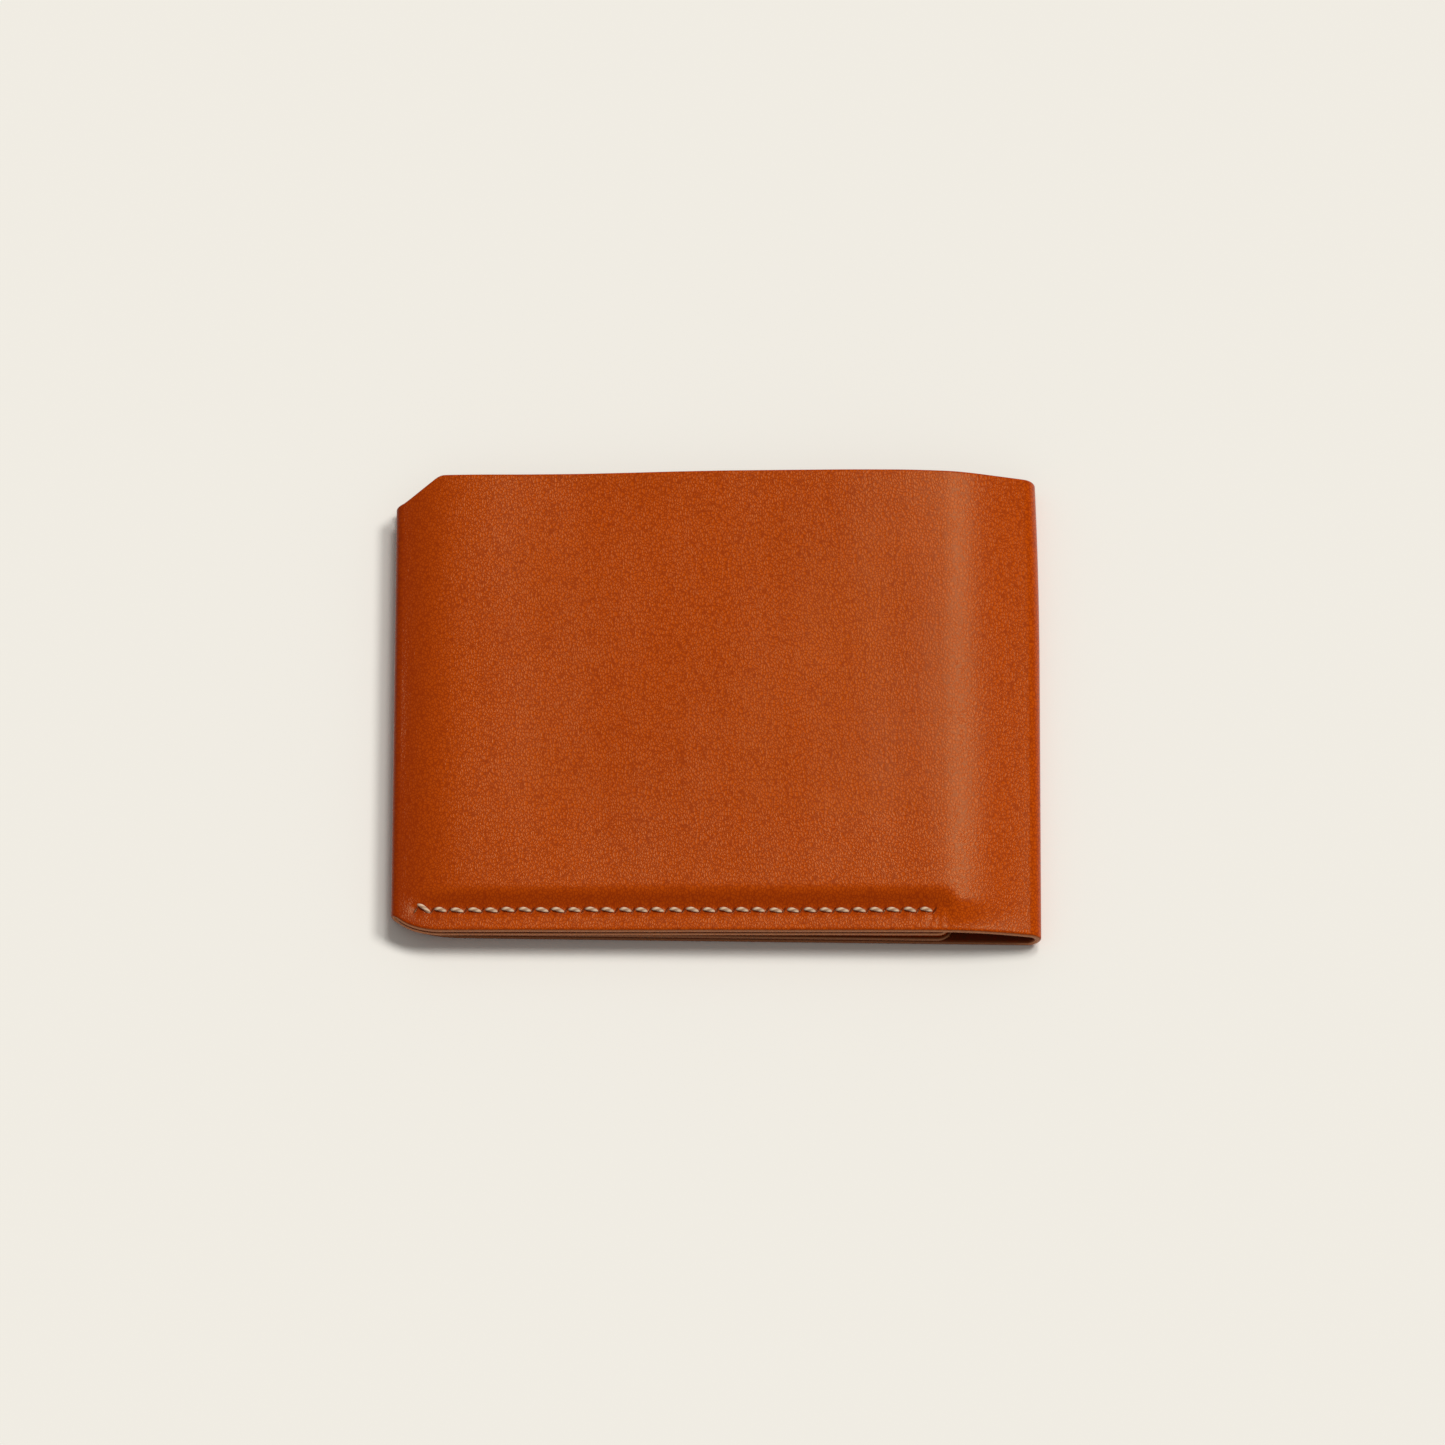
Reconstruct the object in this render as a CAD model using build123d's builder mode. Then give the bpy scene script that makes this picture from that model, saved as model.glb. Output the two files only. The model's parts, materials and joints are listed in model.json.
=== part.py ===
"""A bifold wallet, closed and lying on its back cover.

Each half is one ply of leather turned back on itself at the free edge: an outer
cover and an inner pocket flap, sewn together along the stitched edge only. One ply
runs round the fold and joins the two covers.

Frame: +X points from the free edge to the tip of the fold, -Y is the stitched edge,
+Z is up. The origin is the middle of the footprint, on the surface the wallet lies on.
"""

from build123d import *
import math
import os

# Driving dimensions, in millimetres and degrees.
WIDTH = 110.0  # free edge to the tip of the fold
HEIGHT = 85.0  # stitched edge to open edge
LEATHER = 1.3  # thickness of one ply
FOLD_INNER_RADIUS = 1.3  # inside radius of the fold
SINGLE_PLY_ZONE = 15.0  # tip of the fold to the end of each pocket flap
FOLD_PANEL_RISE = 12.0  # slope of the ply between the fold and the front crease
CREASE_SETBACK = 0.5  # the front crease lies this far past the end of the flap
POCKET_GAP = 0.06  # air between a cover and its pocket flap
HALVES_GAP = 0.3  # air between the two halves at the free edge
FLAP_DROP = 6.9  # the flap's open edge lies this far below the cover's
FLAP_CORNER_RADIUS = 2.5  # rounding of the flap's two corners beside the fold
CLIP_LENGTH = 8.2  # cut corner, measured along the open edge
CORNER_LENGTH = 7.7  # rounded corner, measured along the stitched edge
CORNER_RISE = 3.5  # rounded corner, measured along the free edge
SPINE_HALF_ANGLE = 25.0  # half of the arc of the fold that keeps its curve when opened
JOINT_GAP = 0.3  # clearance between two bodies that turn on each other
SEAM_INSET = 3.7  # stitched edge to the line of stitch holes
SEAM_START = 4.2  # free edge to the first stitch hole
SEAM_END = 3.0  # last stitch hole to the end of the flap, at least
STITCH_PITCH = 2.83  # hole to hole
STITCH_SLANT = 9.0  # turn of each stitch off the line of the seam
THREAD = 0.8  # thickness of the thread across the seam
THREAD_SINK = 0.05  # depth of the top of a stitch below the leather's face
HOLE_CLEARANCE = 0.05  # between the thread and the wall of its hole or groove

# Sizes that follow from the driving dimensions.
TURN_RADIUS = LEATHER + POCKET_GAP / 2
FOLD_RADIUS = FOLD_INNER_RADIUS + LEATHER
FOLD_MID_RADIUS = FOLD_INNER_RADIUS + LEATHER / 2
FLAP_REACH = WIDTH - SINGLE_PLY_ZONE
GROOVE_DEPTH = 0.4 * LEATHER
STITCH_THICKNESS = GROOVE_DEPTH - THREAD_SINK
HALF_DEPTH = 2 * LEATHER + POCKET_GAP
SEAM_Y = SEAM_INSET - HEIGHT / 2
STITCH_COUNT = int((FLAP_REACH - SEAM_START - SEAM_END) / STITCH_PITCH)
HOLES_X = [SEAM_START + i * STITCH_PITCH for i in range(STITCH_COUNT + 1)]

# The line of the leather round the fold, as (x, z) in the plane across the fold.
fold_x, fold_z = WIDTH / 2 - FOLD_RADIUS, FOLD_RADIUS
rise = math.radians(FOLD_PANEL_RISE)
panel_start = (
    fold_x + FOLD_MID_RADIUS * math.sin(rise),
    fold_z + FOLD_MID_RADIUS * math.cos(rise),
)
crease_x = WIDTH / 2 - SINGLE_PLY_ZONE + CREASE_SETBACK
panel_length = (panel_start[0] - crease_x) / math.cos(rise)
crease_z = panel_start[1] + panel_length * math.sin(rise)

# The front half leans from the crease down to its turned edge, which lies on the back's.
turn_x, turn_z = TURN_RADIUS - WIDTH / 2, 3 * TURN_RADIUS + HALVES_GAP
reach = math.hypot(crease_x - turn_x, crease_z - turn_z)
lean = math.atan2(crease_z - turn_z, crease_x - turn_x) - math.asin(
    (TURN_RADIUS - LEATHER / 2) / reach
)
front_origin = (
    turn_x - TURN_RADIUS * (math.cos(lean) + math.sin(lean)),
    turn_z + TURN_RADIUS * (math.cos(lean) - math.sin(lean)),
)
front_length = (crease_x - front_origin[0]) * math.cos(lean) + (
    crease_z - front_origin[1]
) * math.sin(lean)

# Each half is drawn on its outer face: x from the free edge, y up the wallet.
BACK_FACE = Plane(origin=(-WIDTH / 2, 0, 0), x_dir=(1, 0, 0), z_dir=(0, 0, 1))
FRONT_FACE = Plane(
    origin=(front_origin[0], 0, front_origin[1]),
    x_dir=(math.cos(lean), 0, math.sin(lean)),
    z_dir=(-math.sin(lean), 0, math.cos(lean)),
)
HALVES = (
    # name, outer face, way in from that face, length of the cover
    ("back", BACK_FACE, 1, fold_x + WIDTH / 2),
    ("front", FRONT_FACE, -1, front_length - JOINT_GAP / 2),
)


def half_outline(length: float) -> Sketch:
    """Outline of one half: a clipped corner at the open edge, a rounded one at the seam."""
    low, high = -HEIGHT / 2, HEIGHT / 2
    with BuildSketch(mode=Mode.PRIVATE) as outline:
        with BuildLine():
            Polyline(
                (0, low + CORNER_RISE),
                (0, high - FLAP_DROP),
                (CLIP_LENGTH, high),
                (length, high),
                (length, low),
                (CORNER_LENGTH, low),
            )
            EllipticalCenterArc(
                center=(CORNER_LENGTH, low + CORNER_RISE),
                x_radius=CORNER_LENGTH,
                y_radius=CORNER_RISE,
                start_angle=180,
                arc_size=90,
            )
        make_face()
    return outline.sketch


def cut_seam(holes: bool = True) -> Sketch:
    """The stitch holes, or the groove that the stitches lie in, seen on the outer face."""
    radius = THREAD / 2 + HOLE_CLEARANCE
    with BuildSketch(mode=Mode.PRIVATE) as cut:
        if holes:
            with Locations(*[(x, SEAM_Y) for x in HOLES_X]):
                Circle(radius)
        else:
            seam_length = HOLES_X[-1] - HOLES_X[0]
            slant_rise = STITCH_PITCH * math.sin(math.radians(STITCH_SLANT))
            with Locations((HOLES_X[0] + seam_length / 2, SEAM_Y)):
                SlotCenterToCenter(seam_length, 2 * radius + slant_rise)
    return cut.sketch


os.makedirs("parts", exist_ok=True)

for side, face, inward, cover_length in HALVES:
    flap_face = face.offset(inward * (LEATHER + POCKET_GAP))
    inner_face = face.offset(inward * HALF_DEPTH)
    outline = half_outline(cover_length)
    holes, groove = cut_seam(), cut_seam(holes=False)

    # Outer cover: one ply from the turned edge to the fold, grooved for the stitches.
    with BuildPart() as cover:
        with BuildSketch(face):
            add(outline)
            with Locations((TURN_RADIUS, 0)):
                Rectangle(
                    cover_length, HEIGHT, align=(Align.MIN, Align.CENTER), mode=Mode.INTERSECT
                )
            add(holes, mode=Mode.SUBTRACT)
        extrude(amount=inward * LEATHER)
        with BuildSketch(face):
            add(groove)
        extrude(amount=inward * GROOVE_DEPTH, mode=Mode.SUBTRACT)
    cover.part.label = f"{side}_cover"
    export_step(cover.part, f"parts/{side}_cover.step")

    # Turned edge: the leather doubled back on itself, pressed to a half round.
    with BuildPart() as turned_edge:
        with BuildSketch(Plane(face.origin, x_dir=face.x_dir, z_dir=-face.y_dir)):
            with Locations((TURN_RADIUS, inward * TURN_RADIUS)):
                Circle(TURN_RADIUS)
                Rectangle(
                    TURN_RADIUS,
                    2 * TURN_RADIUS,
                    align=(Align.MIN, Align.CENTER),
                    mode=Mode.SUBTRACT,
                )
        extrude(amount=HEIGHT / 2, both=True)
        with BuildSketch(face):
            add(outline)
        extrude(amount=inward * HALF_DEPTH, mode=Mode.INTERSECT)
    turned_edge.part.label = f"{side}_turned_edge"
    export_step(turned_edge.part, f"parts/{side}_turned_edge.step")

    # Pocket flap: the same leather on the inside, lower at the open edge.
    with BuildPart() as flap:
        with BuildSketch(flap_face) as flap_outline:
            add(outline)
            with Locations((TURN_RADIUS, -HEIGHT / 2)):
                Rectangle(
                    FLAP_REACH - TURN_RADIUS,
                    HEIGHT - FLAP_DROP,
                    align=(Align.MIN, Align.MIN),
                    mode=Mode.INTERSECT,
                )
            fillet(flap_outline.vertices().group_by(Axis.X)[-1], FLAP_CORNER_RADIUS)
            add(holes, mode=Mode.SUBTRACT)
        extrude(amount=inward * LEATHER)
        with BuildSketch(inner_face):
            add(groove)
        extrude(amount=-inward * GROOVE_DEPTH, mode=Mode.SUBTRACT)
    flap.part.label = f"{side}_pocket_flap"
    export_step(flap.part, f"parts/{side}_pocket_flap.step")

    # Seam thread: slanted stitches sunk in both faces, joined through every hole.
    stitches_x = [x + STITCH_PITCH / 2 for x in HOLES_X[:-1]]
    with BuildPart() as thread:
        with BuildSketch(face.offset(inward * THREAD_SINK)):
            with Locations(*[Location((x, SEAM_Y, 0), (0, 0, -STITCH_SLANT)) for x in stitches_x]):
                SlotCenterToCenter(STITCH_PITCH, THREAD)
        extrude(amount=inward * STITCH_THICKNESS)
        with BuildSketch(inner_face.offset(-inward * THREAD_SINK)):
            with Locations(*[Location((x, SEAM_Y, 0), (0, 0, STITCH_SLANT)) for x in stitches_x]):
                SlotCenterToCenter(STITCH_PITCH, THREAD)
        extrude(amount=-inward * STITCH_THICKNESS)
        with BuildSketch(face.offset(inward * THREAD_SINK)):
            with Locations(*[(x, SEAM_Y) for x in HOLES_X]):
                Circle(THREAD / 2)
        extrude(amount=inward * (HALF_DEPTH - 2 * THREAD_SINK))
    thread.part.label = f"{side}_seam_thread"
    export_step(thread.part, f"parts/{side}_seam_thread.step")

# Fold: the spine strip keeps its curve, and the bends on either side of it flex.
fold_pieces = (
    ("lower_fold_bend", -90.0, -SPINE_HALF_ANGLE),
    ("spine_strip", -SPINE_HALF_ANGLE, SPINE_HALF_ANGLE),
    ("upper_fold_bend", SPINE_HALF_ANGLE, 90.0 - FOLD_PANEL_RISE),
)
for name, start_angle, end_angle in fold_pieces:
    turn = end_angle - start_angle
    with BuildPart() as fold_piece:
        with BuildSketch(Plane.XZ):
            with BuildLine():
                outer = CenterArc((fold_x, fold_z), FOLD_RADIUS, start_angle, turn)
                inner = CenterArc((fold_x, fold_z), FOLD_INNER_RADIUS, start_angle, turn)
                Line(outer @ 0, inner @ 0)
                Line(outer @ 1, inner @ 1)
            make_face()
        extrude(amount=HEIGHT / 2, both=True)
    fold_piece.part.label = name
    export_step(fold_piece.part, f"parts/{name}.step")

# Fold panel: the single ply that rises from the fold to the front crease.
panel_plane = Plane(
    origin=(panel_start[0], 0, panel_start[1]),
    x_dir=(-math.cos(rise), 0, math.sin(rise)),
    z_dir=(math.sin(rise), 0, math.cos(rise)),
)
with BuildPart() as fold_panel:
    with BuildSketch(panel_plane):
        Rectangle(panel_length - JOINT_GAP / 2, HEIGHT, align=(Align.MIN, Align.CENTER))
    extrude(amount=LEATHER / 2, both=True)
fold_panel.part.label = "front_fold_panel"
export_step(fold_panel.part, "parts/front_fold_panel.step")


def bend_pivot(start: tuple[float, float], heading: float, turn: float) -> tuple[float, float]:
    """Pivot that lays a bend of the ply flat without changing its length.

    The pivot stands half the bend's length along the tangent at its start, and in from
    that tangent by the radius less the half length over the tangent of half the turn.
    """
    half_length = FOLD_MID_RADIUS * turn / 2
    inset = FOLD_MID_RADIUS - half_length / math.tan(turn / 2)
    return (
        start[0] + half_length * math.cos(heading) - inset * math.sin(heading),
        start[1] + half_length * math.sin(heading) + inset * math.cos(heading),
    )


quarter = math.pi / 2
pivots = {
    "fold_lower_bend": (bend_pivot((fold_x, LEATHER / 2), 0, quarter), quarter),
    "fold_upper_bend": (
        bend_pivot((fold_x + FOLD_MID_RADIUS, fold_z), quarter, quarter - rise),
        quarter - rise,
    ),
    "front_crease": ((crease_x, crease_z), rise + lean),
}
for name, (pivot, turn) in pivots.items():
    print(f"{name}: pivot x {pivot[0]:.4f} z {pivot[1]:.4f} mm, opens {math.degrees(turn):.4f} deg")
print(f"lean {math.degrees(lean):.4f} deg, holes {len(HOLES_X)}, top z {crease_z + LEATHER / 2:.3f}")
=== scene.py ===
"""Looks of a closed leather bifold wallet: its shell, its two saddle-stitched seams and the studio.

The leather is one strip. It is drawn as a middle line that runs from the front pocket
flap round the turned edge, over the front cover, round the fold and under the back to
the back pocket flap. Each piece is a stretch of that line with a rounded slab's loop
carried along it. Shapes are worked out in millimetres and written in metres.
"""

import json
import logging
import math
from dataclasses import dataclass
from enum import Enum, IntEnum

import bpy
import numpy as np
from mathutils import Matrix, Vector

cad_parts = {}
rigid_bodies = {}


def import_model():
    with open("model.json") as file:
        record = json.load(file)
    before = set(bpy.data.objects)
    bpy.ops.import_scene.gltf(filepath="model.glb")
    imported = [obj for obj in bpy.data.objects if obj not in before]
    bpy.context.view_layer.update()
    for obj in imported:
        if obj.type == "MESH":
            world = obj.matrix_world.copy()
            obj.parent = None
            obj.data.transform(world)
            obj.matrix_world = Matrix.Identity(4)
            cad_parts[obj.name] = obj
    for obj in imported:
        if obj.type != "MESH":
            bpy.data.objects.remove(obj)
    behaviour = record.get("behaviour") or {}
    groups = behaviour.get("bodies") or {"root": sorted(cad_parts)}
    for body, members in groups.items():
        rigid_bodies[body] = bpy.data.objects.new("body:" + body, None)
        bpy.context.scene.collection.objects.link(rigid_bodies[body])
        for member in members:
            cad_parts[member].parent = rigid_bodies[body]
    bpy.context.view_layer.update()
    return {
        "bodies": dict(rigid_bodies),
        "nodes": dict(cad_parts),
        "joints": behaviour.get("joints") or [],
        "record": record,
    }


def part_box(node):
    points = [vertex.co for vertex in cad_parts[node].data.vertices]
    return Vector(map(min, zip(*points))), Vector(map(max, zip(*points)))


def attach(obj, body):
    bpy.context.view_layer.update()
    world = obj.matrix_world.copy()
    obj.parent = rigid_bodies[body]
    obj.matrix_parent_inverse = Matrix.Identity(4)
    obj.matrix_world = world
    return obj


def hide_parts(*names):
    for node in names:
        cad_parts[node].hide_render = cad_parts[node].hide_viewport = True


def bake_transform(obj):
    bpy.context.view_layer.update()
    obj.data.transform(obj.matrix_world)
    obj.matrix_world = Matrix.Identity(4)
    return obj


MM = 0.001
LOG = logging.getLogger("wallet")

Colour = tuple[float, float, float, float]
Triple = tuple[float, float, float]
Array = np.ndarray
Socket = bpy.types.NodeSocket
Piece = bpy.types.Object

# Lengths in millimetres.
THREAD_RADIUS = 0.4  # half the width of the CAD's thread
HALF_POCKET_AIR = 0.03  # half the air between a cover and its flap
CREASE_REACH = 4.0  # the front bends over this far to either side of its crease
PANEL_CUT = 6.5  # from the crease to the cut between the shoulder and the fold
FLAP_ROUND = 0.45  # the flap's end is rounded over this length
NOSE_STEPS = (0.0, 0.05, 0.14, 0.28, 0.45, 0.8, 1.3, 1.9, 2.5)  # rows near a flap's end

# Rows in a turned edge, in each quarter of the fold and in the ply between fold and cover.
TURN_ROWS = 25
ARC_ROWS = 60
RISE_ROWS = 45


class Half(Enum):
    """Which half of the wallet a seam or a ply is in; the value is its body."""

    FRONT = "front_half"
    BACK = "back_half"


class Zone(IntEnum):
    """Stretches of the leather's middle line, in the order that the strip runs."""

    FRONT_FLAP = 0
    FRONT_TURN = 1
    FRONT_COVER = 2
    FRONT_RISE = 3
    FOLD_UPPER = 4
    FOLD_LOWER = 5
    BACK_COVER = 6
    BACK_TURN = 7
    BACK_FLAP = 8


def smoothstep(low: float, high: float, value: Array) -> Array:
    """0 below low, 1 above high, and 3t^2 - 2t^3 between them."""
    t = np.clip((value - low) / (high - low), 0.0, 1.0)
    return t * t * (3.0 - 2.0 * t)


def hermite(knots_x: Array, knots_y: Array, x: Array, start_slope: float) -> Array:
    """A smooth curve through knots: cubic pieces whose slopes are means of their neighbours'.

    Args:
        knots_x: Rising places of the knots.
        knots_y: Values at the knots.
        x: Where the curve is wanted, within the knots.
        start_slope: Slope at the first knot.

    Returns:
        The curve's values at x.
    """
    secants = np.diff(knots_y) / np.diff(knots_x)
    slopes = np.concatenate([[start_slope], (secants[1:] + secants[:-1]) / 2, secants[-1:]])
    i = np.clip(np.searchsorted(knots_x, x, side="right") - 1, 0, len(secants) - 1)
    step = knots_x[i + 1] - knots_x[i]
    t = (x - knots_x[i]) / step
    return (
        (2 * t**3 - 3 * t**2 + 1) * knots_y[i]
        + (t**3 - 2 * t**2 + t) * step * slopes[i]
        + (3 * t**2 - 2 * t**3) * knots_y[i + 1]
        + (t**3 - t**2) * step * slopes[i + 1]
    )


def add_object(name: str, data: bpy.types.ID) -> Piece:
    """Makes an object of a mesh, a lamp or a camera and puts it in the scene."""
    made = bpy.data.objects.new(name, data)
    bpy.context.scene.collection.objects.link(made)
    return made


def add_piece(name: str, points: Array, smooth: list, flat: list, **layers: Array) -> Piece:
    """Makes a mesh object, with vectors stored on its points for its material.

    Args:
        name: Name of the object and of its mesh.
        points: Its points, in millimetres.
        smooth: The faces to be shaded smooth.
        flat: The other faces.
        **layers: The vectors, under their names.

    Returns:
        The object.
    """
    mesh = bpy.data.meshes.new(name)
    mesh.from_pydata((points.reshape(-1, 3) * MM).tolist(), [], smooth + flat)
    for label, values in layers.items():
        layer = mesh.attributes.new(label, "FLOAT_VECTOR", "POINT")
        layer.data.foreach_set("vector", values.reshape(-1).astype(np.float32))
    mesh.polygons.foreach_set("use_smooth", np.arange(len(smooth) + len(flat)) < len(smooth))
    mesh.validate()
    mesh.update()
    return add_object(name, mesh)


@dataclass(frozen=True)
class WalletSizes:
    """Sizes of the wallet in millimetres, read off the CAD frame."""

    half_width: float
    half_height: float
    ply: float
    fold_radius: float
    flap_end: float
    flap_top: float
    crease_x: float
    seam_y: float
    first_hole: float
    last_hole: float
    halves_gap: float

    @classmethod
    def from_frame(cls, frame: dict) -> "WalletSizes":
        """Reads the sizes from the boxes of the CAD nodes.


        Returns:
            The sizes, in millimetres.
        """
        cover_low, cover_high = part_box("back_cover")
        flap_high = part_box("back_pocket_flap")[1]
        spine_low, spine_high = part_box("spine_strip")
        thread_low, thread_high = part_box("back_seam_thread")
        front_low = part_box("front_turned_edge")[0]
        back_turn_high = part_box("back_turned_edge")[1]
        crease = next(j for j in frame["joints"] if j["name"] == "front_crease")
        return cls(
            half_width=spine_high.x / MM,
            half_height=cover_high.y / MM,
            ply=(cover_high.z - cover_low.z) / MM,
            fold_radius=(spine_low.z + spine_high.z) / 2 / MM,
            flap_end=flap_high.x / MM,
            flap_top=flap_high.y / MM,
            crease_x=crease["pos_m"][0] / MM,
            seam_y=(thread_low.y + thread_high.y) / 2 / MM,
            first_hole=thread_low.x / MM + THREAD_RADIUS,
            last_hole=thread_high.x / MM - THREAD_RADIUS,
            halves_gap=(front_low.z - back_turn_high.z) / MM,
        )

    @property
    def fold_x(self) -> float:
        """Centre of the fold's arc across the wallet."""
        return self.half_width - self.fold_radius

    @property
    def turn_radius(self) -> float:
        """Outer radius of a turned edge: a ply and half the air in the pocket."""
        return self.ply + HALF_POCKET_AIR


@dataclass(frozen=True)
class EndSection:
    """How the wallet's section stands at one end, the stitched one or the open one.

    The last four are heights of the front's middle line, from the fold outwards.
    """

    upper_fold_rise: float  # height of the fold's upper arc over its tip
    rise_slope: float  # slope of the single ply where it leaves the arc
    shoulder: float
    crest: float
    middle: float
    outer: float


STITCHED_END = EndSection(
    upper_fold_rise=1.50, rise_slope=0.20, shoulder=5.45, crest=5.70, middle=5.55, outer=5.22
)
OPEN_END = EndSection(
    upper_fold_rise=2.35, rise_slope=0.27, shoulder=6.45, crest=6.92, middle=6.45, outer=5.10
)
HEIGHT_PLACES = (44.0, 29.0, 5.0, -25.0)  # x of the shoulder, crest, middle and outer heights


@dataclass
class LeatherShell:
    """The whole strip of leather: its middle line at both ends, its outline and its relief."""

    sizes: WalletSizes
    pitch: float = 2.83  # stitch hole to stitch hole
    clip_length: float = 8.2  # cut corner, along the open edge
    clip_drop: float = 6.9  # cut corner, along the free edge
    corner_length: float = 8.6  # rounded corner, along the stitched edge
    corner_rise: float = 4.6  # rounded corner, along the free edge
    flap_corner: float = 2.5  # rounding of the flap beside the fold
    front_skew: float = 0.9  # the front's free edge sits this far towards the stitched edge
    puff: float = 0.9  # the front stands this much proud away from the seam
    back_corner: tuple[float, float] = (12.0, 4.6)  # the back's rounded corner, along and up
    spine_draw: float = 0.65  # the fold is drawn in this far at the open edge
    open_bow: float = 0.33  # the open edge bows out this far over the crest
    out_of_square: float = 0.0041  # the wallet leans this much off square, each way
    edge_round: float = 0.42  # rounding of the cut edges
    spacing: float = 0.47  # step along the strip
    smoothing: float = 4.0  # the front's line is averaged over nearly this far each way
    clip_soft: float = 1.6  # the cut corner meets the open edge over this length
    hollow: float = 0.95  # the thread draws the leather in this far to either side of the seam

    def arc_end(self, end: EndSection) -> float:
        """Angle of the fold's upper ellipse at which its slope is the rise's."""
        across = self.sizes.fold_radius - self.sizes.ply / 2
        return math.atan2(end.upper_fold_rise, across * end.rise_slope)

    def front_line(self, end: EndSection, x: Array) -> Array:
        """Height of the front's middle line: a smooth curve through a few chosen heights."""
        s = self.sizes
        turn_z = 3 * s.turn_radius + s.halves_gap + (s.turn_radius - s.ply / 2)
        angle = self.arc_end(end)
        start = s.fold_x + (s.fold_radius - s.ply / 2) * math.cos(angle)
        places = start - np.array([start, *HEIGHT_PLACES, s.turn_radius - s.half_width])
        heights = [s.fold_radius + end.upper_fold_rise * math.sin(angle), end.shoulder, end.crest]
        heights += [end.middle, end.outer, turn_z]
        along = start - x
        reach = np.clip(np.minimum(along, places[-1] - along), 0.0, self.smoothing)
        offsets = np.linspace(-0.9, 0.9, 9)
        weights = np.cos(offsets * math.pi / 2) ** 2
        shifted = [hermite(places, np.array(heights), along + reach * d, end.rise_slope) for d in offsets]
        return np.tensordot(weights / weights.sum(), np.array(shifted), axes=1)

    def __post_init__(self) -> None:
        """Samples the middle line of both ends, row by row, and joins the zones up."""
        s = self.sizes
        mid_radius = s.turn_radius - s.ply / 2
        fold_mid = s.fold_radius - s.ply / 2
        free_x = s.turn_radius - s.half_width
        half_turn = np.linspace(0.0, math.pi, TURN_ROWS)
        quarter = np.linspace(0.0, math.pi / 2, ARC_ROWS)
        steps = int((s.flap_end - free_x) / self.spacing)
        nose = s.flap_end - np.array(NOSE_STEPS)
        flap_x = np.concatenate([nose, np.linspace(nose[-1], free_x, steps)[1:]])
        cover_end = s.crease_x - CREASE_REACH
        cover_x = np.linspace(free_x, cover_end, int((cover_end - free_x) / self.spacing))
        back_x = np.linspace(s.fold_x, free_x, steps)
        flap_gap = 2 * mid_radius
        lines: list[list[Array]] = []
        for end in (STITCHED_END, OPEN_END):
            angle = self.arc_end(end)
            arc = np.linspace(angle, 0.0, ARC_ROWS)
            rise_x = np.linspace(cover_end, s.fold_x + fold_mid * math.cos(angle), RISE_ROWS)
            turn_x = free_x - mid_radius * np.sin(half_turn)
            flap_z = self.front_line(end, flap_x) - flap_gap
            cover_z = self.front_line(end, cover_x)
            front_turn_z = (flap_z[-1] + cover_z[0]) / 2 - mid_radius * np.cos(half_turn)
            zones = [
                np.stack([flap_x, flap_z]),
                np.stack([turn_x, front_turn_z]),
                np.stack([cover_x, cover_z]),
                np.stack([rise_x, self.front_line(end, rise_x)]),
                np.stack([s.fold_x + fold_mid * np.cos(arc),
                          s.fold_radius + end.upper_fold_rise * np.sin(arc)]),
                np.stack([s.fold_x + fold_mid * np.cos(quarter),
                          s.fold_radius - fold_mid * np.sin(quarter)]),
                np.stack([back_x, np.full_like(back_x, s.ply / 2)]),
                np.stack([turn_x, s.turn_radius - mid_radius * np.cos(half_turn)]),
                np.stack([flap_x[::-1], np.full_like(flap_x, s.ply / 2 + flap_gap)]),
            ]
            lines.append(zones)
        self.zone_of_row = np.concatenate(
            [np.full(z.shape[1] - (k > 0), k) for k, z in enumerate(lines[0])]
        )
        joined = [np.concatenate([z[:, (k > 0):] for k, z in enumerate(zones)], axis=1) for zones in lines]
        self.line_x = np.stack([j[0] for j in joined], axis=1)
        self.line_z = np.stack([j[1] for j in joined], axis=1)
        step = np.hypot(np.diff(self.line_x, axis=0), np.diff(self.line_z, axis=0)).mean(axis=1)
        self.developed = np.concatenate([[0.0], np.cumsum(step)])

    def rows_of(self, first: Zone, last: Zone) -> Array:
        """Numbers of the rows from the start of one zone to the end of another."""
        found = np.nonzero((self.zone_of_row >= first) & (self.zone_of_row <= last))[0]
        return np.arange(max(found[0] - 1, 0), found[-1] + 1)

    def from_free_edge(self, rows: Array) -> Array:
        """Distance of each row from the free edge, across the wallet."""
        return self.line_x[rows].mean(axis=1) + self.sizes.half_width

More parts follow.
